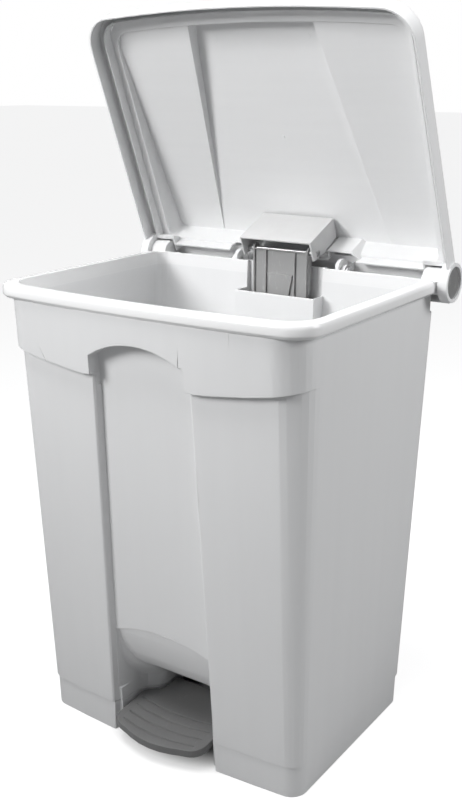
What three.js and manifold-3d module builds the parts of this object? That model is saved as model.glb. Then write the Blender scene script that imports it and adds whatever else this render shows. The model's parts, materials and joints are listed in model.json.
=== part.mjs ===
// Pedal bin: a drafted plastic bin with a foot well in front, a domed lid hinged behind the rim,
// and a pedal lever under the floor that lifts the lid through an upright rod in a rear duct.
// Millimetres, +X right, +Y back, +Z up. The origin is the middle of the base, on the floor.
import * as THREE from 'three';
import { mergeVertices } from 'three/addons/utils/BufferGeometryUtils.js';
import Module from 'manifold-3d';

const wasm = await Module();
wasm.setup();

// ---------------------------------------------------------------- driving dimensions
const WALL = 3;                    // moulded wall
const GAP = 0.3;                   // between pieces that touch
const PLAY = 0.3;                  // around a pin in its bore

const HEIGHT = 644;                // rim top
const STEP_Z = 47;                 // plinth height
const BODY_WIDTH = 436;            // at the step
const BODY_FRONT = 157;            // centre to front corner, at the step
const BODY_BACK = 145;             // centre to back, at the step
const SIDE_DRAFT = 8.5;            // growth of the half width from the step to the rim
const FRONT_DRAFT = 30.6;
const BACK_DRAFT = 27;
const FRONT_BOW = 8.3;             // crown of the front face
const CORNER = 27;                 // front corner radius at the step
const CORNER_GROWTH = 16.1;
const BACK_CORNER = 16;
const PLINTH_INSET = 2.2;

const RIM_DEPTH = 18;
const RIM_OVERHANG = 12.8;
const RIM_ROUND = 4;
const RIM_END = 24;                // rim stops this far in front of the hinge axis

const COLLAR_PROUD = 9;            // thick band under the front of the rim
const COLLAR_DROP = 103;           // rim top to the collar's lowest edge
const COLLAR_SMILE = 23;           // rise of that edge from middle to corner
const ARCH_HALF = 74;
const ARCH_SPRING = 74;            // rim top to where the arch starts
const ARCH_RISE = 21.5;

const RECESS_DEPTH = 12.5;         // set-back front panel
const RECESS_HALF = 86;            // half width on the floor
const RECESS_SLOPE = 0.0256;       // narrowing per millimetre of height
const RECESS_FLARE = 11;           // soft edge between the face and the recess

const FLOOR_Z = 118;               // underside of the bin's floor
const REAR_WALL_DRAFT = 29;        // the bin's rear wall leans in by this much at the floor
const INNER_CORNER = 20;

const WELL_TOP = 166;              // foot well: springing of its arch
const WELL_RISE = 15;
const WELL_HOLE_TOP = 100;
const WELL_LEDGE = 68;
const WELL_SLOPE = 0.45;           // the well's back wall runs in by this much per millimetre down
const WELL_CLEAR = 3.5;            // around the pedal

const AXIS_BEHIND = 14.5;          // hinge axis behind the rear wall's top
const AXIS_DROP = 4.5;             // hinge axis below the rim top
const OPEN = THREE.MathUtils.degToRad(66.6);

const DRUM_R = 18;                 // corner hinge drums on the bin
const DRUM_LENGTH = 26.5;
const DRUM_PIN_R = 7;
const RING_R = 26.5;               // hinge rings at the ends of the lid
const RING_WIDTH = 13.5;
const RIM_TO_RING = 2;
const CAP_R = 21.2;
const CAP_THICK = 5;
const EAR_X = 85;                  // middle hinge ears
const EAR_R = 17;
const EAR_THICK = 6;
const EAR_PIN_R = 4;
const LUG_R = 9;
const EAR_POCKET = 23;             // room in the lid for a middle ear
const EAR_POCKET_LOW = 13;

const DECK_DROP = 46;              // rim top to the shelf behind the rear wall
const COVER_EDGE = 22;             // rear cover in from the corners
const COVER_LIP = 10;

const LID_WALL = 2.5;
const LID_CLEAR = 2.5;             // lid skirt around the rim
const LID_FLARE = 9;               // the skirt is wider at the hinge by this much a side
const LID_SKIRT = 9.5;             // skirt below the axis
const LID_SHELF = 23;              // flange above the axis
const LID_BACK = 24.6;             // lid behind the axis
const LID_TAIL = 13;               // rear skirt below the axis
const RIB_INSET = 12;
const RIB_LOW = 6.5;
const DOME_INSET = 18.5;
const DOME_FRONT_INSET = 26;
const DOME_BACK = 10;              // dome's rear face, in front of the axis
const DOME_HIGH = 53.5;            // dome above the axis, at the back
const DOME_SIDE_LOW = 25;          // side panels above the axis, at the front
const DOME_MIDDLE_LOW = 43;
const DOME_MIDDLE_FRONT = 97;      // half width of the raised middle panel
const DOME_MIDDLE_BACK = 145;
const DOME_LEAN = 8;

const PIN_U = 30.2;                // lift pin in front of the axis, in the lid
const PIN_DOWN = 9.6;              // and below it
const PIN_R = 4;
const HOOD_HALF = 58.5;
const HOOD_FRONT = 55.4;
const HOOD_LOW = 24;

const HEAD_HALF = 46;              // ribbed head of the lift rod
const HEAD_FRONT = 7.8;            // in front of the pin
const HEAD_TALL = 105;
const DUCT_HALF = 63;
const DUCT_TOP_DROP = 40;          // rim top to the top of the duct's front wall

const PIVOT_Y = -20;
const PIVOT_Z = 48;
const LEVER_TILT = THREE.MathUtils.degToRad(7);
const LEVER_HALF = 17;
const LEVER_DEEP = 20;
const LEVER_SHEET = 3;
const ROD_HALF = 10;
const ROD_THICK = 4;
const AXLE_R = 6;
const BRACKET_X = 34;
const SLOT_SLACK = 7;              // the rod's foot slot, each way along Y
const LEVER_PIN_BACK = 143;        // lever pin behind the pivot
const SLOT_RISE = 2.2;             // and up and down, for the lever's arc

const PEDAL_HALF = 76;
const PEDAL_REACH = 177;           // pivot to the pedal's front
const PEDAL_TOP = 7;               // above the pivot, in the lever's own frame
const PEDAL_SKIRT = 12;
const PEDAL_BOW = 11;
const PEDAL_CORNER = 25;
const NECK_HALF = 51;
const SHOULDER_FRONT = 93;         // in front of the pivot
const SHOULDER_BACK = 68;
const NECK_BACK = 40;

// ---------------------------------------------------------------- derived places
const RIM_UNDER = HEIGHT - RIM_DEPTH;
const upTheWall = (z) => (z - STEP_Z) / (HEIGHT - STEP_Z);
const halfAt = (z) => BODY_WIDTH / 2 + upTheWall(z) * SIDE_DRAFT;
const frontAt = (z) => BODY_FRONT + upTheWall(z) * FRONT_DRAFT;
const backAt = (z) => BODY_BACK + upTheWall(z) * BACK_DRAFT;
const cornerAt = (z) => CORNER + upTheWall(z) * CORNER_GROWTH;
const panelAt = (z) => -frontAt(z) - FRONT_BOW + RECESS_DEPTH;
const DECK_Z = HEIGHT - DECK_DROP;
const REAR_WALL_TOP = backAt(DECK_Z) - 24;
const rearWallAt = (z) => REAR_WALL_TOP - (REAR_WALL_DRAFT * (HEIGHT - z)) / (HEIGHT - FLOOR_Z);
const AXIS_Y = REAR_WALL_TOP + AXIS_BEHIND;
const AXIS_Z = HEIGHT - AXIS_DROP;
const RIM_HALF = halfAt(RIM_UNDER) + RIM_OVERHANG;
const RIM_FRONT = frontAt(RIM_UNDER) + RIM_OVERHANG;
const RIM_CORNER = cornerAt(RIM_UNDER) - 3.6;
const RING_X = RIM_HALF + RIM_TO_RING;
const DRUM_X = RING_X - 0.5 - DRUM_LENGTH;
const PIN_RADIUS = Math.hypot(PIN_U, PIN_DOWN);
const PIN_Y = AXIS_Y - PIN_U * Math.cos(OPEN) - PIN_DOWN * Math.sin(OPEN);
const PIN_Z = AXIS_Z + PIN_U * Math.sin(OPEN) - PIN_DOWN * Math.cos(OPEN);
const DUCT_FRONT = AXIS_Y - PIN_RADIUS - HEAD_FRONT - 1.5;
const DUCT_BACK = AXIS_Y - 8.5;
const DUCT_TOP = HEIGHT - DUCT_TOP_DROP;
const ROD_SWAY = PIN_Y - (AXIS_Y - PIN_RADIUS);
const LEVER_PIN_Y = PIVOT_Y + LEVER_PIN_BACK;
const LEVER_LONG = (LEVER_PIN_Y - PIVOT_Y) / Math.cos(LEVER_TILT);
const LEVER_PIN_Z = PIVOT_Z + LEVER_LONG * Math.sin(LEVER_TILT);
const DRUM_POCKET = Math.hypot(LID_SHELF, DOME_BACK + LID_WALL) + 0.7;
const LID_HALF = RIM_HALF + LID_CLEAR + LID_WALL;
const LID_REACH = AXIS_Y + RIM_FRONT + LID_CLEAR + LID_WALL;
const LID_CORNER = RIM_CORNER + LID_CLEAR + LID_WALL;

// ---------------------------------------------------------------- solids
const X = new THREE.Vector3(1, 0, 0);
const Y = new THREE.Vector3(0, 1, 0);
const Z = new THREE.Vector3(0, 0, 1);

function solidOf(geometry) {
  const bare = geometry.clone();
  bare.deleteAttribute('normal');
  bare.deleteAttribute('uv');
  const merged = mergeVertices(bare, 1e-4);
  const vertProperties = Float32Array.from(merged.attributes.position.array);
  const triVerts = Uint32Array.from(merged.index.array);
  return new wasm.Manifold(new wasm.Mesh({ numProp: 3, vertProperties, triVerts }));
}

function geometryOf(solid) {
  const mesh = solid.getMesh();
  const geometry = new THREE.BufferGeometry();
  geometry.setAttribute('position', new THREE.BufferAttribute(mesh.vertProperties, 3));
  geometry.setIndex(new THREE.BufferAttribute(mesh.triVerts, 1));
  geometry.computeVertexNormals();
  return geometry;
}

const join = (...solids) => solids.reduce((sum, next) => sum.add(next));
const cut = (solid, ...tools) => tools.reduce((rest, tool) => rest.subtract(tool), solid);

// Skins a stack of rings, each a list of [x, y] with the same count, and closes both ends.
function loftGeometry(layers) {
  const count = layers[0].ring.length;
  const points = layers.flatMap(({ z, ring }) => ring.flatMap(([x, y]) => [x, y, z]));
  const faces = [];
  for (let layer = 0; layer + 1 < layers.length; layer += 1) {
    for (let i = 0; i < count; i += 1) {
      const a = layer * count + i;
      const b = layer * count + ((i + 1) % count);
      faces.push(a, b, b + count, a, b + count, a + count);
    }
  }
  const top = (layers.length - 1) * count;
  const capOf = ({ ring }) => THREE.ShapeUtils.triangulateShape(ring.map((p) => new THREE.Vector2(...p)), []);
  for (const [a, b, c] of capOf(layers[0])) faces.push(c, b, a);
  for (const [a, b, c] of capOf(layers.at(-1))) faces.push(top + a, top + b, top + c);
  const geometry = new THREE.BufferGeometry();
  geometry.setAttribute('position', new THREE.Float32BufferAttribute(points, 3));
  geometry.setIndex(faces);
  return geometry;
}

const loft = (layers) => solidOf(loftGeometry(layers));
const slab = (ring, z0, z1) => loft([{ z: z0, ring }, { z: z1, ring }]);

// A profile of [y, z] points drawn along X, or of [x, z] points drawn along Y.
function alongX(profile, x0, x1) {
  const geometry = loftGeometry([{ z: x0, ring: profile }, { z: x1, ring: profile }]);
  return solidOf(geometry.applyMatrix4(new THREE.Matrix4().makeBasis(Y, Z, X)));
}

function alongY(profile, y0, y1) {
  const geometry = loftGeometry([{ z: -y1, ring: profile }, { z: -y0, ring: profile }]);
  return solidOf(geometry.rotateX(Math.PI / 2));
}

function block(x0, x1, y0, y1, z0, z1) {
  const box = new THREE.BoxGeometry(x1 - x0, y1 - y0, z1 - z0);
  return solidOf(box.translate((x0 + x1) / 2, (y0 + y1) / 2, (z0 + z1) / 2));
}

function pinX(radius, x0, x1, y, z, sides = 24) {
  const cylinder = new THREE.CylinderGeometry(radius, radius, x1 - x0, sides);
  return solidOf(cylinder.rotateZ(Math.PI / 2).translate((x0 + x1) / 2, y, z));
}

function pinY(radius, y0, y1, x, z, sides = 16) {
  const cylinder = new THREE.CylinderGeometry(radius, radius, y1 - y0, sides);
  return solidOf(cylinder.translate(x, (y0 + y1) / 2, z));
}

function pinZ(radius, z0, z1, x, y, sides = 16) {
  const cylinder = new THREE.CylinderGeometry(radius, radius, z1 - z0, sides);
  return solidOf(cylinder.rotateX(Math.PI / 2).translate(x, y, (z0 + z1) / 2));
}

const mirrored = (solid) => solid.add(solid.mirror([1, 0, 0]));

function arc(cx, cy, radius, from, to, steps) {
  const points = [];
  for (let i = 0; i <= steps; i += 1) {
    const angle = THREE.MathUtils.degToRad(from + ((to - from) * i) / steps);
    points.push([cx + radius * Math.cos(angle), cy + radius * Math.sin(angle)]);
  }
  return points;
}

// Plan outline of a rounded box with a bowed front, anticlockwise from the front right corner.
function outline({ half, halfBack = half, front, back, corner, backCorner, bow = FRONT_BOW }) {
  const bowed = [];
  const reach = half - corner;
  for (const t of [-0.75, -0.5, -0.25, 0, 0.25, 0.5, 0.75]) {
    bowed.push([t * reach, front - bow * (1 - t * t)]);
  }
  return [
    ...arc(half - corner, front + corner, corner, -90, 0, 7),
    ...arc(halfBack - backCorner, back - backCorner, backCorner, 0, 90, 4),
    ...arc(backCorner - halfBack, back - backCorner, backCorner, 90, 180, 4),
    ...arc(corner - half, front + corner, corner, 180, 270, 7),
    ...bowed,
  ];
}

// ---------------------------------------------------------------- bin
function bodyRing(z, inset = 0, extra = {}) {
  return outline({
    half: halfAt(z) - inset,
    front: inset - frontAt(z),
    back: backAt(z) - inset,
    corner: cornerAt(z) - inset,
    backCorner: Math.max(BACK_CORNER - inset, 2),
    ...extra,
  });
}

const between = (z0, z1, ringAt) => loft([{ z: z0, ring: ringAt(z0) }, { z: z1, ring: ringAt(z1) }]);

// The set-back front panel and the arch above it, grown by `grow` for the wall behind them.
function recess(grow) {
  const flare = [[0, 0], [2, RECESS_DEPTH - 4], [5, RECESS_DEPTH - 1.2], [RECESS_FLARE, RECESS_DEPTH]];
  const ringAt = (z) => {
    const inner = RECESS_HALF - z * RECESS_SLOPE + grow;
    const side = flare.map(([dx, dy]) => [inner + dx, panelAt(z) + grow - dy]);
    const far = [inner + RECESS_FLARE, panelAt(z) - 60];
    const right = [far, ...side.slice().reverse()];
    return [...right, ...right.map(([x, y]) => [-x, y]).reverse()];
  };
  const top = HEIGHT - COLLAR_DROP + 8;
  const radius = (ARCH_HALF ** 2 + ARCH_RISE ** 2) / (2 * ARCH_RISE);
  const spring = HEIGHT - ARCH_SPRING;
  const sweep = THREE.MathUtils.radToDeg(Math.asin(ARCH_HALF / radius));
  const half = ARCH_HALF + grow;
  const crown = arc(0, spring + ARCH_RISE - radius, radius + grow, 90 - sweep, 90 + sweep, 12);
  const arch = alongY([[-half, top - 20], [half, top - 20], ...crown], -RIM_FRONT - 60, 0);
  const plane = between(-20, HEIGHT, (z) => [
    [-half - 60, -RIM_FRONT - 80], [half + 60, -RIM_FRONT - 80], [half + 60, panelAt(z) + grow], [-half - 60, panelAt(z) + grow],
  ]);
  return join(between(-10, top - 4, ringAt), arch).intersect(plane);
}

// Plan outline of the pedal in its own frame, grown by `grow`; y is measured from the pivot.
function pedalOutline(grow, back = -NECK_BACK) {
  const half = PEDAL_HALF + grow;
  const neck = NECK_HALF + grow;
  const front = -PEDAL_REACH - grow;
  const corner = PEDAL_CORNER + grow;
  const nose = front + PEDAL_BOW + corner;
  const right = [
    ...[0.35, 0.7, 0.9].map((t) => [t * (half - corner), front + PEDAL_BOW * t ** 2]),
    ...arc(half - corner, nose, corner, -78, 0, 6),
    [half, -SHOULDER_FRONT],
    [half - 5, -SHOULDER_FRONT + 9 + grow],
    [neck + 6, -SHOULDER_BACK - 7 + grow],
    [neck, -SHOULDER_BACK + 4 + grow],
    [neck, back],
  ];
  return [[0, front], ...right, ...right.map(([x, y]) => [-x, y]).reverse()];
}

// The foot well: a scoop that starts under an arch in the panel and curls in until it follows the
// pedal's edge, with the slot below it that the pedal moves in.
const WELL_CURL = [
  [WELL_TOP + WELL_RISE + 4, 0], [WELL_TOP, 0.03], [146, 0.09], [128, 0.18], [113, 0.29], [101, 0.42],
  [91, 0.6], [83, 0.78], [75, 0.92], [WELL_LEDGE, 1],
];

function footWell(grow) {
  const halfOf = (z) => RECESS_HALF - z * RECESS_SLOPE + grow;
  const half = halfOf(WELL_TOP);
  const radius = (half ** 2 + WELL_RISE ** 2) / (2 * WELL_RISE);
  const sweep = THREE.MathUtils.radToDeg(Math.asin(half / radius));
  const crown = arc(0, WELL_TOP + WELL_RISE + grow - radius, radius, 90 - sweep, 90 + sweep, 12);
  const face = alongY([[-half - 9, -20], [half + 9, -20], [half + 9, WELL_TOP], ...crown, [-half - 9, WELL_TOP]], -RIM_FRONT - 60, PIVOT_Y);
  const wide = PEDAL_HALF + WELL_CLEAR + grow;
  const neck = NECK_HALF + WELL_CLEAR + grow;
  const shoulder = PIVOT_Y - SHOULDER_FRONT + grow;
  const edge = [
    [wide, shoulder - 18], [wide, shoulder], [wide - 3, shoulder + 8], [wide - 11, shoulder + 14],
    [neck + 6, shoulder + 20], [neck + 1, shoulder + 28], [neck - 3, shoulder + 38], [neck - 30, shoulder + 42],
  ];
  const layers = WELL_CURL.map(([z, curl]) => {
    const start = panelAt(z) + grow;
    const curled = edge.map(([x, y]) => [x + (halfOf(z) - x) * (1 - curl) ** 2, start + (y - start) * curl]);
    const right = [[halfOf(z), -RIM_FRONT - 60], [halfOf(z), start - 4], ...curled];
    return { z: z - (z === WELL_LEDGE ? grow : 0), ring: [...right, ...right.map(([x, y]) => [-x, y]).reverse()] };
  });
  const scoop = face.intersect(loft(layers.reverse()));
  const slotRing = pedalOutline(WELL_CLEAR + grow, -NECK_BACK + 20).map(([x, y]) => [x, y + PIVOT_Y]);
  return join(scoop, slab(slotRing, -10, WELL_LEDGE + 1));
}

const neckHole = block(-NECK_HALF - WELL_CLEAR, NECK_HALF + WELL_CLEAR, panelAt(0), PIVOT_Y, -10, WELL_HOLE_TOP);

function ductSolid(grow, top) {
  return block(-DUCT_HALF - grow, DUCT_HALF + grow, DUCT_FRONT - grow, DUCT_BACK, STEP_Z - 60, top);
}

const coverPlane = (z) => backAt(z) + 0;
function rearSlab(z0, z1, half, proud, deep) {
  return between(z0, z1, (z) => {
    const w = half(z);
    return [[-w, coverPlane(z) - deep], [w, coverPlane(z) - deep], [w, coverPlane(z) + proud], [-w, coverPlane(z) + proud]];
  });
}

function hingeMounts() {
  const webBack = AXIS_Y - 6.5;
  const webFront = REAR_WALL_TOP - 1;
  const drum = join(
    pinX(DRUM_R, DRUM_X, DRUM_X + DRUM_LENGTH, AXIS_Y, AXIS_Z, 32),
    block(DRUM_X, halfAt(DECK_Z) - 1, webFront, webBack, DECK_Z - 1, AXIS_Z),
    block(DRUM_X, RIM_HALF - 1, AXIS_Y - RIM_END - 6, webBack, RIM_UNDER + 1, AXIS_Z + 3.5),
  );
  const ear = join(
    pinX(EAR_R, EAR_X - EAR_THICK / 2, EAR_X + EAR_THICK / 2, AXIS_Y, AXIS_Z, 28),
    block(EAR_X - EAR_THICK / 2, EAR_X + EAR_THICK / 2, webFront, webBack, DECK_Z - 1, AXIS_Z + 4),
  );
  const bores = join(
    pinX(DRUM_PIN_R + PLAY, DRUM_X + 2, DRUM_X + DRUM_LENGTH + 1, AXIS_Y, AXIS_Z),
    pinX(EAR_PIN_R + PLAY, EAR_X - EAR_THICK, EAR_X + EAR_THICK, AXIS_Y, AXIS_Z),
  );
  return { pads: mirrored(join(drum, ear)), bores: mirrored(bores) };
}

function binBody() {
  const shell = between(STEP_Z, RIM_UNDER + 1, (z) => bodyRing(z));
  const rimRing = (inset) => outline({
    half: RIM_HALF - inset, front: inset - RIM_FRONT, back: AXIS_Y - RIM_END - inset, corner: RIM_CORNER - inset, backCorner: 2,
  });
  const rim = loft([
    { z: RIM_UNDER, ring: rimRing(RIM_ROUND) },
    { z: RIM_UNDER + RIM_ROUND, ring: rimRing(0) },
    { z: HEIGHT - RIM_ROUND - 2, ring: rimRing(0) },
    { z: HEIGHT - 1.5, ring: rimRing(RIM_ROUND / 2) },
    { z: HEIGHT, ring: rimRing(RIM_ROUND + 1.5) },
  ]);
  const smile = [];
  for (let i = -6; i <= 6; i += 1) {
    const x = (i / 6) * (halfAt(RIM_UNDER) + 2);
    smile.push([x, HEIGHT - COLLAR_DROP + COLLAR_SMILE * (i / 6) ** 2]);
  }
  const edge = halfAt(RIM_UNDER) + 2;
  const bandFace = alongY([...smile, [edge, RIM_UNDER + 2], [-edge, RIM_UNDER + 2]], -RIM_FRONT - 20, 0);
  const bandRing = (z) => bodyRing(z, 0, { front: -frontAt(z) - COLLAR_PROUD });
  const collar = between(HEIGHT - COLLAR_DROP - 5, RIM_UNDER + 1, bandRing).intersect(bandFace);
  const rearWall = block(-halfAt(HEIGHT) + 2, halfAt(HEIGHT) - 2, AXIS_Y - RIM_END - 30, REAR_WALL_TOP + WALL, DECK_Z - 20, HEIGHT - 1);
  const interior = cut(
    between(FLOOR_Z + WALL, HEIGHT + 5, (z) => bodyRing(z, WALL, { back: rearWallAt(z), backCorner: INNER_CORNER })),
    block(-DUCT_HALF - WALL, DUCT_HALF + WALL, DUCT_FRONT - WALL, AXIS_Y, FLOOR_Z, DUCT_TOP),
    recess(WALL),
    footWell(WALL),
  );
  const behind = block(-RIM_HALF, RIM_HALF, REAR_WALL_TOP + WALL, AXIS_Y + 60, DECK_Z, HEIGHT + 5);
  const bay = between(STEP_Z - 10, DECK_Z - WALL, (z) => bodyRing(z, WALL, {
    front: rearWallAt(z) + WALL, back: backAt(z) - 2 * WALL - GAP, bow: 0, corner: 3, backCorner: 3,
  }));
  const under = cut(
    between(STEP_Z - 10, FLOOR_Z, (z) => bodyRing(z, WALL, { back: backAt(z) - 2 * WALL - GAP })),
    recess(WALL),
    footWell(WALL),
  );
  const coverHalf = (z) => halfAt(z) - COVER_EDGE;
  const rebate = rearSlab(STEP_Z - 1, DECK_Z - 6, (z) => coverHalf(z) + GAP, 40, WALL + GAP);
  const window_ = rearSlab(STEP_Z + 12, DECK_Z - 18, (z) => coverHalf(z) - COVER_LIP, 40, 4 * WALL);
  const upright = join(
    block(-DUCT_HALF - WALL, DUCT_HALF + WALL, DUCT_BACK, DUCT_BACK + WALL, DECK_Z - WALL, HEIGHT - 1),
    mirrored(block(DUCT_HALF, DUCT_HALF + WALL, REAR_WALL_TOP, DUCT_BACK + WALL, DECK_Z - WALL, HEIGHT - 1)),
  );
  const hinge = hingeMounts();
  const outer = join(cut(join(shell, rim, collar, rearWall), behind), upright, hinge.pads);
  const ductWall = cut(ductSolid(WALL, DUCT_TOP), block(-RIM_HALF, RIM_HALF, 0, AXIS_Y, -60, FLOOR_Z));
  const ductLane = block(-DUCT_HALF, DUCT_HALF, DUCT_FRONT, DUCT_BACK, 0, HEIGHT + 5);
  const hollow = cut(join(interior, bay, under), ductWall);
  const screws = coverScrewPlaces().map(({ x, z }) => pinY(1.6 + PLAY, coverPlane(z) - 9, AXIS_Y + 40, x, z));
  return cut(outer, hollow, ductLane, recess(0), footWell(0), neckHole, rebate, window_, hinge.bores, ...screws);
}

function coverScrewPlaces() {
  const places = [];
  for (const side of [-1, 1]) {
    for (const z of [STEP_Z + 7, (STEP_Z + DECK_Z) / 2, DECK_Z - 12]) {
      places.push({ x: side * (halfAt(z) - COVER_EDGE - COVER_LIP / 2), z });
    }
  }
  return places;
}

function plinth() {
  const ringAt = (inset) => (z) => bodyRing(STEP_Z, PLINTH_INSET + inset + (STEP_Z - z) * 0.02);
  const skin = between(0, STEP_Z - GAP, ringAt(0));
  const hollow = cut(between(WALL, STEP_Z + 1, ringAt(WALL)), recess(WALL), footWell(WALL));
  const opening = cut(between(-5, STEP_Z, ringAt(16)), recess(16), footWell(WALL));
  const spigotRing = (inset) => (z) => bodyRing(z, inset, { back: backAt(z) - 2 * WALL - 3 * GAP - inset + WALL });
  const spigot = cut(
    between(STEP_Z - 9, STEP_Z + 12, spigotRing(WALL + GAP)),
    between(STEP_Z - 10, STEP_Z + 13, spigotRing(WALL + GAP + 2.6)),
    recess(WALL + GAP),
    footWell(WALL + GAP),
    block(-60, 60, -300, 300, 0, 100),
  );
  return cut(join(cut(skin, hollow), spigot), opening, recess(0), footWell(0), neckHole);
}

function rearCover() {
  const panel = rearSlab(STEP_Z + 0.5, DECK_Z - 6 - GAP, (z) => halfAt(z) - COVER_EDGE, 0, WALL);
  const holes = coverScrewPlaces().map(({ x, z }) => pinY(1.6 + PLAY, 0, AXIS_Y + 40, x, z));
  return cut(panel, ...holes);
}

// ---------------------------------------------------------------- lid, in its closed place from the hinge axis
function lidRing(inset, extra = {}) {
  return outline({
    half: LID_HALF - inset,
    halfBack: LID_HALF + LID_FLARE - inset,
    front: inset - LID_REACH,
    back: LID_BACK - inset,
    corner: LID_CORNER - inset,
    backCorner: Math.max(6 - inset, 1.5),
    ...extra,
  });
}

function domeRing(inset) {
  const side = DOME_INSET + inset;
  return outline({
    half: LID_HALF - side,
    halfBack: LID_HALF + LID_FLARE - side - 4,
    front: DOME_FRONT_INSET + inset - LID_REACH,
    back: -DOME_BACK - inset,
    corner: LID_CORNER - DOME_INSET - Math.min(inset, 8),
    backCorner: 12,
  });
}

// Everything under the dome's roof: two side slopes and a middle panel that stays higher in front.
function underRoof(drop) {
  const u0 = DOME_BACK;
  const u1 = LID_REACH - DOME_FRONT_INSET;
  const roof = (low) => alongX([
    [40, -60], [40, DOME_HIGH - drop], [-u0, DOME_HIGH - drop], [-u1, low - drop], [-u1 - 60, low - drop - 4], [-u1 - 60, -60],
  ], -LID_HALF * 1.3, LID_HALF * 1.3);
  const edge = (u) => DOME_MIDDLE_BACK + ((DOME_MIDDLE_FRONT - DOME_MIDDLE_BACK) * (u - u0)) / (u1 - u0) - drop;
  const wedge = [[-edge(u1 + 60), -u1 - 60], [edge(u1 + 60), -u1 - 60], [edge(u0 - 50), 50 - u0], [-edge(u0 - 50), 50 - u0]];
  return join(roof(DOME_SIDE_LOW), roof(DOME_MIDDLE_LOW).intersect(slab(wedge, -70, 90)));
}

function lidShell() {
  const skin = loft([
    { z: -LID_SKIRT, ring: lidRing(0) },
    { z: LID_SHELF - 11, ring: lidRing(0.8) },
    { z: LID_SHELF - 5, ring: lidRing(2.5) },
    { z: LID_SHELF - 1.5, ring: lidRing(6) },
    { z: LID_SHELF, ring: lidRing(11) },
  ]);
  const dome = loft([{ z: 10, ring: domeRing(0) }, { z: DOME_HIGH + 8, ring: domeRing(DOME_LEAN) }]).intersect(underRoof(0));
  const tail = block(-LID_HALF - LID_FLARE + 3, LID_HALF + LID_FLARE - 3, LID_BACK - LID_WALL, LID_BACK, -LID_TAIL, 0);
  const skirtHollow = loft([
    { z: -LID_SKIRT - 5, ring: lidRing(LID_WALL) },
    { z: LID_SHELF - 11, ring: lidRing(LID_WALL + 0.8) },
    { z: LID_SHELF - LID_WALL, ring: lidRing(LID_WALL + 8) },
  ]);
  const domeHollow = loft([{ z: 0, ring: domeRing(LID_WALL) }, { z: DOME_HIGH + 8, ring: domeRing(LID_WALL + DOME_LEAN) }]);
  const rib = cut(
    slab(lidRing(RIB_INSET, { back: -DOME_BACK }), RIB_LOW, LID_SHELF - 1),
    slab(lidRing(RIB_INSET + LID_WALL, { back: -DOME_BACK - LID_WALL }), RIB_LOW - 1, LID_SHELF),
  );
  const shell = join(cut(join(skin, dome), skirtHollow, domeHollow.intersect(underRoof(LID_WALL))), tail, rib);
  const ring = pinX(RING_R, RING_X, RING_X + RING_WIDTH, 0, 0, 40);
  const ringBore = join(
    pinX(CAP_R + GAP, RING_X + RING_WIDTH - CAP_THICK - 3.3, RING_X + RING_WIDTH + 1, 0, 0, 40),
    pinX(DRUM_PIN_R + PLAY, RING_X - 1, RING_X + RING_WIDTH, 0, 0),
  );
  const pocket = (radius, x0, x1) => pinX(radius, x0, x1, 0, 0, 32);
  const front = (x0, x1) => block(x0, x1, -30, 0, RIB_LOW, LID_SHELF + 1);
  const earPlan = (inset, back) => [
    [HOOD_HALF + 1 + inset, -EAR_POCKET + inset], [EAR_X + 12 - inset / 2, -EAR_POCKET + inset],
    [EAR_X + 24 - inset, -DOME_BACK - LID_WALL - 1], [EAR_X + 24 - inset, back], [HOOD_HALF + 1 + inset, back],
  ];
  const earOut = slab(earPlan(0, -DOME_BACK), EAR_POCKET_LOW, DOME_HIGH - 1).intersect(underRoof(0.5));
  const earIn = join(
    slab(earPlan(LID_WALL, 12), -40, LID_SHELF - LID_WALL),
    slab(earPlan(LID_WALL, -DOME_BACK - LID_WALL), 0, DOME_HIGH).intersect(underRoof(LID_WALL)),
  );
  const drumOut = pocket(Math.max(DRUM_R + 5, DRUM_POCKET), DRUM_X - 6, RING_X + 1).intersect(front(DRUM_X - 6, RING_X + 1));
  const drumIn = pocket(DRUM_R + 2.5, DRUM_X - 3, RING_X).intersect(block(0, 400, -60, 12, -40, LID_SHELF - LID_WALL));
  const lug = join(
    pinX(LUG_R, EAR_X + EAR_THICK / 2 + 0.5, EAR_X + EAR_THICK / 2 + 6.5, 0, 0, 20),
    block(EAR_X + EAR_THICK / 2 + 0.5, EAR_X + EAR_THICK / 2 + 6.5, -2, LUG_R, 0, LID_SHELF - 1),
  );
  const lugBore = pinX(EAR_PIN_R + PLAY, EAR_X, EAR_X + 20, 0, 0);
  const outside = join(shell, mirrored(join(ring, earOut, drumOut)));
  const boss = hoodScrewPlaces().map(({ x, u }) => pinZ(5, HOOD_ROOF + GAP, DOME_HIGH - 2, x, -u));
  const bossBore = hoodScrewPlaces().map(({ x, u }) => pinZ(1.8 + PLAY, HOOD_ROOF - 2, DOME_HIGH - 6, x, -u));
  const cleared = cut(outside, mirrored(join(ringBore, earIn, drumIn)));
  return cut(join(cleared, mirrored(lug), ...boss), mirrored(lugBore), ...bossBore);
}

const HOOD_ROOF = 46;
function hoodScrewPlaces() {
  return [-1, 1].map((side) => ({ x: side * (HOOD_HALF - 14), u: HOOD_FRONT - 12 }));
}

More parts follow.
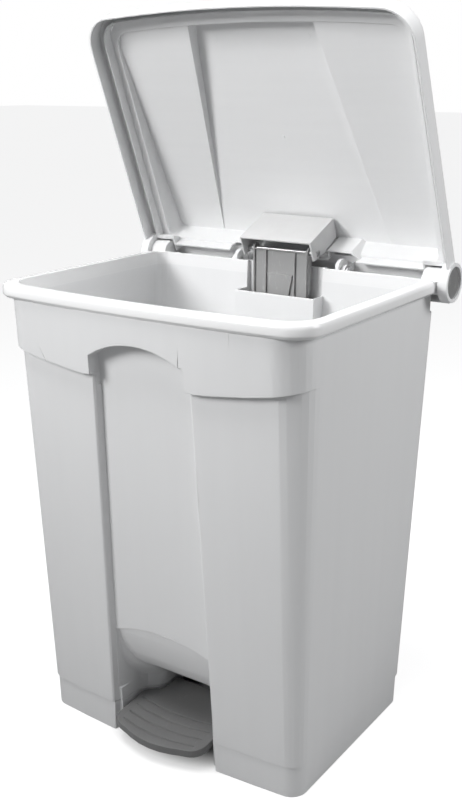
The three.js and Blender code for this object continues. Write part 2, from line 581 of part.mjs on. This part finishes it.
// Lift bracket under the lid: a box open below and behind, whose cheeks carry the lift pin.
function lidHood() {
  const profile = [
    [-HOOD_FRONT, HOOD_ROOF], [-HOOD_FRONT, -HOOD_LOW], [-26.3, -HOOD_LOW], [-21.8, 8.9], [-25.7, HOOD_ROOF],
  ];
  const full = alongX(profile, -HOOD_HALF, HOOD_HALF);
  const inside = alongX(
    [[-HOOD_FRONT + LID_WALL, HOOD_ROOF - LID_WALL], [-HOOD_FRONT + LID_WALL, -60], [10, -60], [10, HOOD_ROOF - LID_WALL]],
    -HOOD_HALF + LID_WALL, HOOD_HALF - LID_WALL,
  );
  const ribs = mirrored(block(32, 34.5, -HOOD_FRONT + 1, -HOOD_FRONT + 11, -8, HOOD_ROOF - 1));
  const bores = join(
    pinX(PIN_R + PLAY, -HOOD_HALF - 2, HOOD_HALF + 2, -PIN_U, -PIN_DOWN),
    ...hoodScrewPlaces().map(({ x, u }) => pinZ(1.8 + PLAY, 0, HOOD_ROOF + 2, x, -u)),
  );
  return cut(join(cut(full, inside), ribs), bores);
}

// ---------------------------------------------------------------- lift rod, from the lift pin
const PLATE_FRONT = HEAD_FRONT - 3;
const RIVETS = [-72, -92];

function rodHead() {
  const plate = block(-HEAD_HALF, HEAD_HALF, -PLATE_FRONT, -PLATE_FRONT + 2.5, -HEAD_TALL, 1.6);
  const fins = [-43.5, -24, 24, 43.5].map((x) => block(x - 1.2, x + 1.2, -HEAD_FRONT, -PLATE_FRONT + 1, -HEAD_TALL, 1.6));
  const rails = [0.4, -HEAD_TALL].map((z) => block(-HEAD_HALF, HEAD_HALF, -HEAD_FRONT, -PLATE_FRONT + 1, z - 0.8, z + 1.2));
  const cheekProfile = [...arc(0, 0, 8, -60, 150, 12), [-PLATE_FRONT + 1, -40], [-PLATE_FRONT + 1.5, -60], [2, -60]];
  const cheeks = mirrored(alongX(cheekProfile, HEAD_HALF - 3, HEAD_HALF));
  const bump = alongY([[-15, -64], [15, -64], [21, -33], [-21, -33]], -HEAD_FRONT + 0.3, -PLATE_FRONT + 1);
  const holes = RIVETS.map((z) => pinY(2.5 + PLAY, -20, 20, 0, z));
  const bore = pinX(PIN_R + PLAY, -HEAD_HALF - 2, HEAD_HALF + 2, 0, 0);
  return cut(join(plate, cheeks, bump, ...fins, ...rails), bore, ...holes);
}

function rodBar() {
  const front = -PLATE_FRONT + 2.5 + GAP;
  const foot = LEVER_PIN_Z - PIN_Z;
  const offset = LEVER_PIN_Y - PIN_Y + ROD_SWAY / 2;
  const strip = block(-ROD_HALF, ROD_HALF, front, front + ROD_THICK, foot + 6, -62);
  const slotHalf = SLOT_SLACK + PIN_R;
  const eye = block(-ROD_HALF, ROD_HALF, offset - slotHalf - 3, front + ROD_THICK, foot - 10, foot + 10);
  const slot = block(-ROD_HALF - 1, ROD_HALF + 1, offset - slotHalf, offset + slotHalf, foot - PIN_R - SLOT_RISE, foot + PIN_R + SLOT_RISE);
  const holes = RIVETS.map((z) => pinY(2.5 + PLAY, -20, 20, 0, z));
  return cut(join(strip, eye), slot, ...holes);
}

function rivet(z) {
  const front = -PLATE_FRONT;
  const back = front + 2.5 + GAP + ROD_THICK;
  return join(
    pinY(2.5, front - 1, back + 1, 0, z),
    pinY(4.5, front - 2, front - GAP, 0, z),
    pinY(4.5, back + GAP, back + 2, 0, z),
  );
}

// ---------------------------------------------------------------- pedal, from the pivot, lever level
function pedalPlate() {
  const body = slab(pedalOutline(0), PEDAL_TOP - PEDAL_SKIRT, PEDAL_TOP);
  const hollow = slab(pedalOutline(-WALL, 0), PEDAL_TOP - PEDAL_SKIRT - 1, PEDAL_TOP - WALL);
  const grooves = [16, 33, 50, 67].map((inset) => {
    const half = PEDAL_HALF - 15 + inset * 0.08;
    const edge = (shift) => [-1, -0.5, 0, 0.5, 1].map((t) => [t * half, -PEDAL_REACH + inset + shift + 8 * t * t]);
    return slab([...edge(-1), ...edge(1).reverse()], PEDAL_TOP - 1.4, PEDAL_TOP + 1);
  });
  const holes = PEDAL_SCREWS.map((y) => pinZ(2 + PLAY, -20, PEDAL_TOP - 2 + GAP, 0, y));
  const rib = block(-LEVER_HALF - 6, LEVER_HALF + 6, -PEDAL_REACH + 25, -NECK_BACK, 0, PEDAL_TOP - 1);
  return cut(join(cut(body, hollow), rib.intersect(body)), LEVER_SPACE, ...grooves, ...holes);
}

const PEDAL_SCREWS = [-130, -62];
const LEVER_TOP = 1;
const LEVER_SPACE = block(-LEVER_HALF - GAP, LEVER_HALF + GAP, -PEDAL_REACH + 20, 60, -40, LEVER_TOP + GAP);

function lever() {
  const front = -PEDAL_REACH + 26;
  const back = LEVER_LONG + 11;
  const bar = block(-LEVER_HALF, LEVER_HALF, front, back, LEVER_TOP - LEVER_DEEP + 8, LEVER_TOP);
  const hub = block(-LEVER_HALF, LEVER_HALF, -24, 24, LEVER_TOP - LEVER_DEEP + 4, LEVER_TOP + 12);
  const tail = block(-LEVER_HALF, LEVER_HALF, LEVER_LONG - 30, back, -10, 10);
  const inner = LEVER_HALF - LEVER_SHEET;
  const channel = block(-inner, inner, front - 1, LEVER_LONG - 34, -40, LEVER_TOP - LEVER_SHEET);
  const fork = block(-inner, inner, LEVER_LONG - 34, back + 1, -40, 40);
  const bores = join(
    pinX(AXLE_R + PLAY, -LEVER_HALF - 1, LEVER_HALF + 1, 0, 0),
    pinX(PIN_R + PLAY, -LEVER_HALF - 1, LEVER_HALF + 1, LEVER_LONG, 0),
    ...PEDAL_SCREWS.map((y) => pinZ(2 + PLAY, -20, 20, 0, y)),
  );
  return cut(join(bar, hub, tail), channel, fork, bores);
}

// ---------------------------------------------------------------- assembly
const material = (color, roughness, metalness = 0) => new THREE.MeshStandardMaterial({ color, roughness, metalness });
const WHITE = () => material(0xe9eaea, 0.38);
const LIGHT = () => material(0xdadbdb, 0.45);
const GREY = () => material(0xa6a8a8, 0.5);
const DARK = () => material(0x6d6f70, 0.6);
const STEEL = () => material(0xb9bcbf, 0.35, 1);

const bin = new THREE.Group();
const lid = new THREE.Group();
lid.position.set(0, AXIS_Y, AXIS_Z);
lid.rotation.x = -OPEN;
const rod = new THREE.Group();
rod.position.set(0, PIN_Y, PIN_Z);
const pedal = new THREE.Group();
pedal.position.set(0, PIVOT_Y, PIVOT_Z);
pedal.rotation.x = LEVER_TILT;
bin.add(lid, rod, pedal);

function add(group, name, solid, look) {
  const mesh = new THREE.Mesh(geometryOf(solid), look);
  mesh.name = name;
  group.add(mesh);
}

add(bin, 'bin_body', binBody(), WHITE());
add(bin, 'base_plinth', plinth(), WHITE());
add(bin, 'rear_cover', rearCover(), LIGHT());
coverScrewPlaces().forEach(({ x, z }, i) => {
  const y = coverPlane(z);
  add(bin, `cover_screw_${i + 1}`, join(pinY(1.6, y - 6, y + 1, x, z, 12), pinY(4, y + 2 * GAP, y + 2.4, x, z, 12)), STEEL());
});

const sides = [['left', -1], ['right', 1]];
for (const [side, sign] of sides) {
  const place = (solid) => (sign > 0 ? solid : solid.mirror([1, 0, 0]));
  const corner = pinX(DRUM_PIN_R, DRUM_X + 2 + GAP, RING_X + RING_WIDTH - CAP_THICK - 3.3 - GAP, AXIS_Y, AXIS_Z);
  add(bin, `corner_hinge_pin_${side}`, place(corner), STEEL());
  const capX = RING_X + RING_WIDTH - CAP_THICK - 3;
  add(lid, `hinge_cap_${side}`, place(pinX(CAP_R, capX, capX + CAP_THICK, 0, 0, 40)), GREY());
  const earPinX = EAR_X + EAR_THICK / 2 + 6.5;
  const middle = join(
    pinX(EAR_PIN_R, EAR_X - EAR_THICK / 2 - 1, earPinX + 1, AXIS_Y, AXIS_Z, 20),
    pinX(EAR_PIN_R + 3, earPinX + GAP, earPinX + 3, AXIS_Y, AXIS_Z, 20),
  );
  add(bin, `middle_hinge_pin_${side}`, place(middle), STEEL());
  const bracket = cut(
    join(
      block(BRACKET_X, BRACKET_X + 6, PIVOT_Y - 14, PIVOT_Y + 14, PIVOT_Z - 12, FLOOR_Z - GAP),
      block(BRACKET_X, BRACKET_X + 30, PIVOT_Y - 14, PIVOT_Y + 14, FLOOR_Z - GAP - 4, FLOOR_Z - GAP),
    ),
    pinX(AXLE_R + PLAY, BRACKET_X - 2, BRACKET_X + 10, PIVOT_Y, PIVOT_Z),
    pinZ(2.5 + PLAY, FLOOR_Z - 20, FLOOR_Z + 10, BRACKET_X + 19, PIVOT_Y),
  );
  add(bin, `axle_bracket_${side}`, place(bracket), DARK());
  const bolt = join(
    pinZ(2.2, FLOOR_Z - 8, FLOOR_Z - 2 * GAP, BRACKET_X + 19, PIVOT_Y),
    pinZ(5, FLOOR_Z - 8, FLOOR_Z - 4 - 2 * GAP, BRACKET_X + 19, PIVOT_Y, 6),
  );
  add(bin, `bracket_bolt_${side}`, place(bolt), STEEL());
}
add(bin, 'pedal_axle', pinX(AXLE_R, -BRACKET_X - 9, BRACKET_X + 9, PIVOT_Y, PIVOT_Z), STEEL());

add(lid, 'lid', lidShell(), WHITE());
add(lid, 'lid_hood', lidHood(), LIGHT());
add(lid, 'lift_pin', pinX(PIN_R, -HOOD_HALF - 1.5, HOOD_HALF + 1.5, -PIN_U, -PIN_DOWN), STEEL());
hoodScrewPlaces().forEach(({ x, u }, i) => {
  const head = pinZ(4, HOOD_ROOF - LID_WALL - 2, HOOD_ROOF - LID_WALL - GAP, x, -u, 12);
  add(lid, `hood_screw_${i + 1}`, join(head, pinZ(1.8, HOOD_ROOF - LID_WALL - 1, DOME_HIGH - 7, x, -u, 12)), STEEL());
});

add(rod, 'rod_head', rodHead(), GREY());
add(rod, 'lift_rod', rodBar(), STEEL());
RIVETS.forEach((z, i) => add(rod, `rod_rivet_${i + 1}`, rivet(z), STEEL()));

add(pedal, 'pedal_plate', pedalPlate(), DARK());
add(pedal, 'pedal_lever', lever(), STEEL());
add(pedal, 'lever_pin', pinX(PIN_R, -LEVER_HALF - 2, LEVER_HALF + 2, LEVER_LONG, 0, 20), STEEL());
PEDAL_SCREWS.forEach((y, i) => {
  const under = LEVER_TOP - LEVER_SHEET - GAP;
  const head = pinZ(4, under - 2, under, 0, y, 12);
  add(pedal, `pedal_screw_${i + 1}`, join(head, pinZ(2, under - 1, PEDAL_TOP - 2, 0, y, 12)), STEEL());
});

export default bin;
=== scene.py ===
# %% [markdown]
# # Pedal bin
# A tall white plastic bin stands open. Its lid hangs on a hinge behind the rim, a grey pedal sits in a
# well at the front, and a rod in a duct at the back joins the two. The CAD model gives every piece its
# place and size. Here each piece gets the soft edges, small moulding marks and finish of the real thing.

import json
import math

import bmesh
import bpy
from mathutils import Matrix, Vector

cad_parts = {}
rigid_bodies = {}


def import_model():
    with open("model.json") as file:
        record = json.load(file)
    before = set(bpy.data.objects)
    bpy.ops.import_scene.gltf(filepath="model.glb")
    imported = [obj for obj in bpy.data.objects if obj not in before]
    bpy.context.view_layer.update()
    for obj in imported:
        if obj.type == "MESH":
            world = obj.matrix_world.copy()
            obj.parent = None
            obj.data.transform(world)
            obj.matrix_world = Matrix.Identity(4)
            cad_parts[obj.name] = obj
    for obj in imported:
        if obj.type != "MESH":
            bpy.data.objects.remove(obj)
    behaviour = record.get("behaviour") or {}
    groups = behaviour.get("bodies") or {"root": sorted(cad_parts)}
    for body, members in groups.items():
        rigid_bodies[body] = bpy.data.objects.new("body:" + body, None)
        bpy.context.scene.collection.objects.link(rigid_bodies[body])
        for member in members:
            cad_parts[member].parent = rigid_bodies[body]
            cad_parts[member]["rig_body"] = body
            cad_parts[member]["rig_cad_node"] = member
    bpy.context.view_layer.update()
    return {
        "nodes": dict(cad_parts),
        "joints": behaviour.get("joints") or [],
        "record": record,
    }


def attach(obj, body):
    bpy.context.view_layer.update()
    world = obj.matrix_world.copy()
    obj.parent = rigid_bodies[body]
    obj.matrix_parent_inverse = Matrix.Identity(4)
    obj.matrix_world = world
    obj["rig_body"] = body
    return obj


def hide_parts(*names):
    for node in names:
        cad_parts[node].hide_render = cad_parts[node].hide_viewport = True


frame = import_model()
MM = 0.001
joints = {joint["name"]: joint for joint in frame["joints"]}
HINGE = Vector(joints["lid_hinge"]["pos_m"])
OPEN = math.radians(joints["lid_hinge"]["range_deg"][1])
print("nodes", len(frame["nodes"]), "hinge at", tuple(HINGE))

# %% [markdown]
# ## Camera
# The bin is seen from the front right and a little above. The lens is a short telephoto. A small upward
# shift keeps the open lid inside the frame while the sides of the bin converge only slightly.

# %% Camera
CAMERA_PLACE = (0.7862, -1.1498, 0.8917)
AZIMUTH = math.radians(34.162)
ELEVATION = math.radians(19.377)
LENS = 47.24
SENSOR = 36
SHIFT_UP = 0.0627
bpy.ops.object.camera_add(
    location=CAMERA_PLACE,
    rotation=(math.radians(90) - ELEVATION, 0, AZIMUTH),
)
camera = bpy.context.active_object
camera.name = "camera"
camera.data.lens = LENS
camera.data.sensor_width = SENSOR
camera.data.shift_y = SHIFT_UP
bpy.context.scene.camera = camera

# %% [markdown]
# ## Floor and light
# A pale floor runs far behind the bin. One soft light at the front left is aimed at the top of the bin,
# so the front fades towards the floor. A weaker one keeps the right side from going dark, a broad one
# above fills the open bin, and a dim pale sky does the rest. The camera itself sees a plain white sky.

# %% Floor and lights
FLOOR_SIZE = 60
FLOOR_DROP = 0.0005
SKY_STRENGTH = 0.22
bpy.ops.mesh.primitive_plane_add(size=FLOOR_SIZE, location=(0, 0, -FLOOR_DROP))
floor = bpy.context.active_object
floor.name = "floor"


def soft_light(name, place, aim, size, watts, spread=180):
    """An area light at `place` that looks at `aim`; a small spread keeps its light high on the bin."""
    turn = (Vector(aim) - Vector(place)).to_track_quat("-Z", "Y").to_euler()
    bpy.ops.object.light_add(type="AREA", location=place, rotation=turn)
    light = bpy.context.active_object
    light.name = name
    light.data.shape = "RECTANGLE"
    light.data.size = size
    light.data.size_y = size
    light.data.energy = watts
    light.data.spread = math.radians(spread)


soft_light("key_light", place=(-1.1, -1.9, 1.75), aim=(0.02, 0, 0.95), size=0.9, watts=6.8, spread=60)
soft_light("side_light", place=(2.0, 0.55, 1.5), aim=(0, 0, 0.62), size=0.9, watts=4.4, spread=74)
soft_light("top_light", place=(-0.1, -0.45, 2.4), aim=(0, 0.05, 0.6), size=1.0, watts=30)
bpy.context.scene.view_settings.view_transform = "Standard"

world = bpy.data.worlds.new("pale_studio")
world.use_nodes = True
sky = world.node_tree.nodes["Background"]
sky.inputs["Color"].default_value = (0.97, 0.98, 1.0, 1)
sky.inputs["Strength"].default_value = SKY_STRENGTH
white = world.node_tree.nodes.new("ShaderNodeBackground")
path = world.node_tree.nodes.new("ShaderNodeLightPath")
choice = world.node_tree.nodes.new("ShaderNodeMixShader")
join = world.node_tree.links.new
join(path.outputs["Is Camera Ray"], choice.inputs[0])
join(sky.outputs[0], choice.inputs[1])
join(white.outputs[0], choice.inputs[2])
join(choice.outputs[0], world.node_tree.nodes["World Output"].inputs["Surface"])
white.inputs["Color"].default_value = (1.0, 1.0, 1.0, 1)
bpy.context.scene.world = world

# %% [markdown]
# ## Shader arithmetic
# A finish is easiest to read as arithmetic: grain times strength, one minus a mask. `Value` wraps one
# output of a node, so Python's own signs add the Math nodes. `Finish.node` adds any other node.

# %% A value that adds Math nodes
class Value:
    """One output of a node in a finish."""

    def __init__(self, finish, output):
        self.finish = finish
        self.output = output

    def math(self, operation, first, second):
        return self.finish.node("ShaderNodeMath", {"operation": operation}, {0: first, 1: second})

    def __add__(self, other):
        return self.math("ADD", self, other)

    __radd__ = __add__

    def __mul__(self, other):
        return self.math("MULTIPLY", self, other)

    __rmul__ = __mul__

    def __sub__(self, other):
        return self.math("SUBTRACT", self, other)

    def __rsub__(self, other):
        return self.math("SUBTRACT", other, self)

    def clamp(self):
        """The value kept between 0 and 1."""
        return self.math("MINIMUM", self.math("MAXIMUM", self, 0.0), 1.0)

    def smooth(self, low, high):
        """0 below `low`, 1 above `high`, and an even blend between them."""
        return self.finish.node(
            "ShaderNodeMapRange",
            {"interpolation_type": "SMOOTHSTEP"},
            {"Value": self, "From Min": low, "From Max": high},
        )


# %% A finish
class Finish:
    """A material whose nodes are added one at a time."""

    def __init__(self, name, **constants):
        self.material = bpy.data.materials.new(name)
        self.material.use_nodes = True
        self.tree = self.material.node_tree
        self.shader = self.tree.nodes["Principled BSDF"]
        for socket, value in constants.items():
            self.shader.inputs[socket.replace("_", " ")].default_value = value
        self.place = self.node("ShaderNodeTexCoord", {}, {}, "Object")

    def link(self, target, value):
        if isinstance(value, Value):
            self.tree.links.new(value.output, target)
        else:
            target.default_value = value

    def node(self, kind, settings, sockets, output=0):
        node = self.tree.nodes.new(kind)
        for name, value in settings.items():
            setattr(node, name, value)
        for name, value in sockets.items():
            self.link(node.inputs[name], value)
        return Value(self, node.outputs[output])

    def stretched(self, scale):
        """The place on the piece, scaled along each axis."""
        return self.node("ShaderNodeMapping", {}, {"Vector": self.place, "Scale": scale})

    def noise(self, scale, detail=3.0, roughness=0.55, place=None):
        sockets = {"Vector": place or self.place, "Scale": scale, "Detail": detail, "Roughness": roughness}
        return self.node("ShaderNodeTexNoise", {}, sockets)

    def cells(self, scale):
        return self.node("ShaderNodeTexVoronoi", {}, {"Vector": self.place, "Scale": scale})

    def axis(self, letter):
        return self.node("ShaderNodeSeparateXYZ", {}, {0: self.place}, letter)

    def mix(self, factor, first, second):
        """A colour between two colours."""
        return self.node(
            "ShaderNodeMix", {"data_type": "RGBA"}, {0: factor, 6: first, 7: second}, 2
        )

    def bump(self, height, distance, strength):
        sockets = {"Height": height, "Distance": distance, "Strength": strength}
        return self.node("ShaderNodeBump", {}, sockets)

    def surface(self, color, roughness, normal=None):
        self.link(self.shader.inputs["Base Color"], color)
        self.link(self.shader.inputs["Roughness"], roughness)
        if normal is not None:
            self.link(self.shader.inputs["Normal"], normal)
        return self.material


def rgb(level, tint=(0.0, 0.0, 0.0)):
    """A grey with a slight tint, as a colour."""
    return (level + tint[0], level + tint[1], level + tint[2], 1.0)


# %% [markdown]
# ## Moulded plastic
# The bin and the lid are injection moulded. The mould's skin is spark eroded, which leaves a very fine
# grain, and the melt leaves faint long streaks down the walls. The rolled rim was polished in the mould,
# so it is smoother, and its colour is painted lighter, a painted sheen. Shoe scuffs gather low on the
# front, and the walls are painted darker towards the floor, a painted shade. The grain, streaks and
# scuffs are noise on Object coordinates: scale gives the size of a mark, and a stretched copy of the
# coordinates gives a streak.

# %% White plastic of the bin
RIM_FOOT = 0.6235
RIM_TOP = 0.6275
SHADE_AND_SCUFF_TOP = 0.16


def body_plastic():
    finish = Finish("body_plastic", IOR=1.5, Specular_IOR_Level=0.5)
    grain = finish.noise(2600, 2.0)
    cloud = finish.noise(3.2, 2.0)
    streak = finish.noise(1.0, 3.0, 0.5, finish.stretched((55, 55, 2.2)))
    height = finish.axis("Z")
    rim = height.smooth(RIM_FOOT, RIM_TOP)
    # Painted shade: this mask darkens the walls towards the floor, and it also keeps the scuffs low.
    low = 1 - height.smooth(0.0, SHADE_AND_SCUFF_TOP)
    scuffs = finish.noise(1.0, 4.0, 0.6, finish.stretched((90, 90, 700))).smooth(0.66, 0.74) * low
    tone = (cloud * 0.30 + streak * 0.25 + scuffs * 0.5 + low * 0.25).clamp()
    color = finish.mix(tone, rgb(0.80, (0, 0.004, 0.008)), rgb(0.70, (0, 0.004, 0.009)))
    # Painted sheen: the polished rim gets a lighter colour than the walls.
    color = finish.mix(rim, color, rgb(0.86, (0, 0.002, 0.004)))
    rough = (0.40 + 0.10 * cloud + 0.06 * streak + 0.15 * scuffs) * (1 - 0.55 * rim)
    relief = grain * 0.6 + streak * 0.9
    return finish.surface(color, rough, finish.bump(relief * (1 - 0.7 * rim), 0.00012, 0.5))


# %% White plastic of the lid
def lid_plastic():
    finish = Finish("lid_plastic", IOR=1.5, Specular_IOR_Level=0.5)
    grain = finish.noise(2400, 2.0)
    cloud = finish.noise(4.0, 2.0)
    flow = finish.noise(1.0, 3.0, 0.5, finish.stretched((5, 90, 90)))
    tone = (cloud * 0.35 + flow * 0.35).clamp()
    color = finish.mix(tone, rgb(0.86, (0, 0.003, 0.006)), rgb(0.78, (0, 0.003, 0.007)))
    rough = 0.34 + 0.14 * cloud + 0.06 * flow
    return finish.surface(color, rough, finish.bump(grain * 0.5 + flow * 0.8, 0.00014, 0.55))


# %% [markdown]
# ## Grey plastics
# The lift hood is light grey, the ribbed head of the rod is mid grey, the hinge caps are darker, and the
# pedal is nearly charcoal. They share one recipe, because they are one kind of plastic with different
# pigment. Wear rubs the grain smooth and pale, which shows most on the tread of the pedal.

# %% Pigmented plastic
def grey_plastic(name, level, rough, grain_scale, wear):
    finish = Finish(name, IOR=1.49, Specular_IOR_Level=0.5)
    grain = finish.cells(grain_scale)
    cloud = finish.noise(14, 3.0)
    marks = finish.noise(1.0, 4.0, 0.6, finish.stretched((260, 60, 60))).smooth(0.58, 0.70)
    color = finish.mix(cloud, rgb(level * 1.06), rgb(level * 0.90))
    color = finish.mix(marks * wear, color, rgb(min(level * 1.7 + 0.03, 0.85)))
    roughness = rough + 0.12 * cloud - 0.10 * marks * wear
    return finish.surface(color, roughness, finish.bump(grain + marks * 0.4, 0.00018, 0.5))


# %% [markdown]
# ## Steel
# The rod and the lever are zinc plated sheet. Plating is dull silver with faint crystals and rolling
# lines along the strip. The brackets are powder coated, which gives an orange-peel skin.

# %% Plated steel
def plated_steel(name, level, rough):
    finish = Finish(name, Metallic=1.0)
    spangle = finish.cells(240)
    drawn = finish.noise(1.0, 3.0, 0.5, finish.stretched((900, 900, 30)))
    stain = finish.noise(30, 4.0).smooth(0.55, 0.8)
    color = finish.mix(spangle * 0.5 + stain * 0.4, rgb(level, (0, 0.003, 0.01)), rgb(level * 0.72))
    roughness = rough + 0.12 * drawn + 0.15 * stain
    return finish.surface(color, roughness, finish.bump(drawn + spangle * 0.2, 0.00006, 0.4))


# %% Powder coat
def powder_coat():
    finish = Finish("powder_coat", IOR=1.5)
    peel = finish.noise(900, 2.0)
    dust = finish.noise(40, 4.0).smooth(0.5, 0.8)
    color = finish.mix(dust * 0.6, rgb(0.035), rgb(0.10))
    return finish.surface(color, 0.42 + 0.25 * dust, finish.bump(peel, 0.0002, 0.5))


# %% Floor
SHADE_NEAR = 0.13
SHADE_FAR = 0.21
FLOOR_GLOW = 0.80


def floor_finish():
    """A pale floor that glows for the camera and throws little light up the walls. Near the bin the glow
    fades out, which paints a soft shadow under and around it.
    """
    finish = Finish("pale_floor", Specular_IOR_Level=0.1, Emission_Strength=1.0)
    cloud = finish.noise(0.8, 2.0)
    seen = finish.node("ShaderNodeLightPath", {}, {}, "Is Camera Ray")
    reach = finish.node("ShaderNodeVectorMath", {"operation": "LENGTH"}, {0: finish.place}, "Value")
    # Painted shadow: the camera-only glow fades out close to the bin.
    seen = seen * reach.smooth(SHADE_NEAR, SHADE_FAR)
    finish.link(finish.shader.inputs["Emission Color"], finish.mix(seen, rgb(0.0), rgb(FLOOR_GLOW)))
    return finish.surface(finish.mix(cloud, rgb(0.46), rgb(0.44)), 0.75 + 0.1 * cloud)


FINISHES = {
    "body_plastic": body_plastic(),
    "lid_plastic": lid_plastic(),
    "hood_plastic": grey_plastic("hood_plastic", 0.68, 0.42, 1500, 0.10),
    "grey_plastic": grey_plastic("grey_plastic", 0.33, 0.40, 1500, 0.25),
    "cap_plastic": grey_plastic("cap_plastic", 0.22, 0.38, 1500, 0.25),
    "pedal_plastic": grey_plastic("pedal_plastic", 0.185, 0.46, 1100, 0.12),
    "plain_steel": plated_steel("plain_steel", 0.58, 0.34),
    "fastener_steel": plated_steel("fastener_steel", 0.66, 0.26),
    "bracket_steel": powder_coat(),
}
floor.data.materials.append(floor_finish())
print("finishes", ", ".join(FINISHES))

# %% [markdown]
# ## Soft edges
# A mould never has a knife edge: a small radius lets the part leave it. Every CAD solid is copied, its
# loose triangles are joined into whole faces, and a bevel rounds the sharp edges. A bevel modifier does
# this on any shape, where rounding by hand would need every edge to be picked. The copy takes the solid's
# place, and faces are shaded smooth except across real corners.

# %% Copy a solid and round it
CORNER_ANGLE = 32
BEVEL_SEGMENTS = 2
THINNEST_FACE = 0.12
MERGE_DISTANCE = 0.00003
SLIVER_LENGTH = 0.00005
SLOTS = {part["node"]: part["material_slot"] for part in frame["record"]["subparts"]}
BODIES = {
    node: body
    for body, nodes in frame["record"]["behaviour"]["bodies"].items()
    for node in nodes
}


def pick_only(piece):
    bpy.ops.object.select_all(action="DESELECT")
    piece.select_set(True)
    bpy.context.view_layer.objects.active = piece


def mark_corners(piece):
    """Gives full bevel weight to real corners, and none to edges of sliver faces, whose normals wander."""
    mesh = bmesh.new()
    mesh.from_mesh(piece.data)
    weight = mesh.edges.layers.float.new("bevel_weight_edge")
    thick = {}
    for face in mesh.faces:
        longest = max(edge.calc_length() for edge in face.edges)
        thick[face] = 2 * face.calc_area() / max(longest, 1e-9) > THINNEST_FACE * MM
    for edge in mesh.edges:
        if len(edge.link_faces) == 2 and all(thick[face] for face in edge.link_faces):
            corner = edge.calc_face_angle(0.0) > math.radians(CORNER_ANGLE)
            edge[weight] = 1.0 if corner else 0.0
    mesh.to_mesh(piece.data)
    mesh.free()


def soften(piece, width):
    """Rounds the real corners by `width` millimetres, then shades the piece smooth between them."""
    pick_only(piece)
    mark_corners(piece)
    bevel = piece.modifiers.new("edge_radius", "BEVEL")
    bevel.width = width * MM
    bevel.segments = BEVEL_SEGMENTS
    bevel.limit_method = "WEIGHT"
    bevel.use_clamp_overlap = False
    bevel.miter_outer = "MITER_ARC"
    bpy.ops.object.modifier_apply(modifier=bevel.name)
    bpy.ops.object.shade_smooth_by_angle(angle=math.radians(CORNER_ANGLE))
    flat = piece.modifiers.new("flat_faces_stay_flat", "WEIGHTED_NORMAL")
    flat.keep_sharp = True
    bpy.ops.object.modifier_apply(modifier=flat.name)


def moulding(node, width):
    """A softened copy of a CAD solid, which takes its place."""
    pick_only(frame["nodes"][node])
    bpy.ops.object.duplicate()
    piece = bpy.context.active_object
    piece.parent = None
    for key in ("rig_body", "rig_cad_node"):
        if key in piece:
            del piece[key]
    piece.name = node + "_moulding"
    bpy.ops.mesh.customdata_custom_splitnormals_clear()
    bpy.ops.object.mode_set(mode="EDIT")
    bpy.ops.mesh.select_all(action="SELECT")
    bpy.ops.mesh.remove_doubles(threshold=MERGE_DISTANCE)
    bpy.ops.mesh.dissolve_degenerate(threshold=SLIVER_LENGTH)
    for height in CUTS.get(node, ()):
        bpy.ops.mesh.select_all(action="SELECT")
        bpy.ops.mesh.bisect(plane_co=(0, 0, height * MM), plane_no=(0, 0, 1))
    bpy.ops.object.mode_set(mode="OBJECT")
    soften(piece, width)
    piece.data.materials.clear()
    piece.data.materials.append(FINISHES[SLOTS[node]])
    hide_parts(node)
    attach(piece, BODIES[node])
    return piece


EDGE = {
    "bin_body": 0.9, "base_plinth": 0.7, "lid": 0.6, "lid_hood": 0.7, "rod_head": 0.5,
    "pedal_plate": 1.2, "pedal_lever": 0.5, "lift_rod": 0.5, "rear_cover": 0.8,
}
SMALL_EDGE = 0.35
# Heights where the bin's long thin faces are cut, so that the bevel leaves no dark streaks on them.
CUTS = {"bin_body": (70, 95, 125, 160, 190, 240, 300, 360, 420, 480, 515, 528, 538, 552, 575, 600)}
mouldings = {node: moulding(node, EDGE.get(node, SMALL_EDGE)) for node in SLOTS}
print("softened", len(mouldings), "pieces")

# %% [markdown]
# ## Marks that moulding leaves
# Ejector pins push the lid out of its mould and leave shallow round marks on its underside. The plastic
# enters at one gate, which leaves a small nub. Each mark is a thin disc: a cylinder is the whole shape,
# so nothing has to be cut into the lid. The places are measured from the hinge, across the lid and up
# along it, and each disc takes the height of the sloping centre panel there. The nub and the first two
# marks lie on that panel. The outer four stand clear of the side panels, which lie lower: a known fault.

# %% Marks on the lid's underside
PANEL_RISE = 51
PANEL_FALL = 0.031
MARK_RADIUS = 5
MARK_THICKNESS = 0.5
GATE_RADIUS = 2.2
GATE_THICKNESS = 1.6
DISC_EDGE = 0.12
DISC_SIDES = 40
PINS = ((-71, 315), (71, 315), (-208, 310), (208, 310), (-144, 281), (144, 281))


def on_lid(across, along, rise):
    """A place on the open lid: millimetres across it, along it from the hinge, and out of its panel."""
    back = -along * math.cos(OPEN) + rise * math.sin(OPEN)
    up = along * math.sin(OPEN) + rise * math.cos(OPEN)
    return HINGE + Vector((across, back, up)) * MM


def lid_disc(name, across, along, radius, thickness):
    """A thin disc at the height of the underside of the lid's centre panel."""
    rise = PANEL_RISE - PANEL_FALL * along
    facing = on_lid(across, along, rise) - on_lid(across, along, rise + 1)
    bpy.ops.mesh.primitive_cylinder_add(
        vertices=DISC_SIDES,
        radius=radius * MM,
        depth=thickness * MM,
        location=on_lid(across, along, rise),
        rotation=facing.to_track_quat("Z", "Y").to_euler(),
    )
    disc = bpy.context.active_object
    disc.name = name
    bpy.ops.object.transform_apply(location=True, rotation=True, scale=True)
    soften(disc, DISC_EDGE)
    disc.data.materials.append(FINISHES["lid_plastic"])
    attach(disc, BODIES["lid"])
    return disc


lid_disc("gate_nub", 3, 176, GATE_RADIUS, GATE_THICKNESS)
ejector_marks = [
    lid_disc(f"ejector_mark_{number}", across, along, MARK_RADIUS, MARK_THICKNESS)
    for number, (across, along) in enumerate(PINS, 1)
]
print("ejector marks", len(ejector_marks))
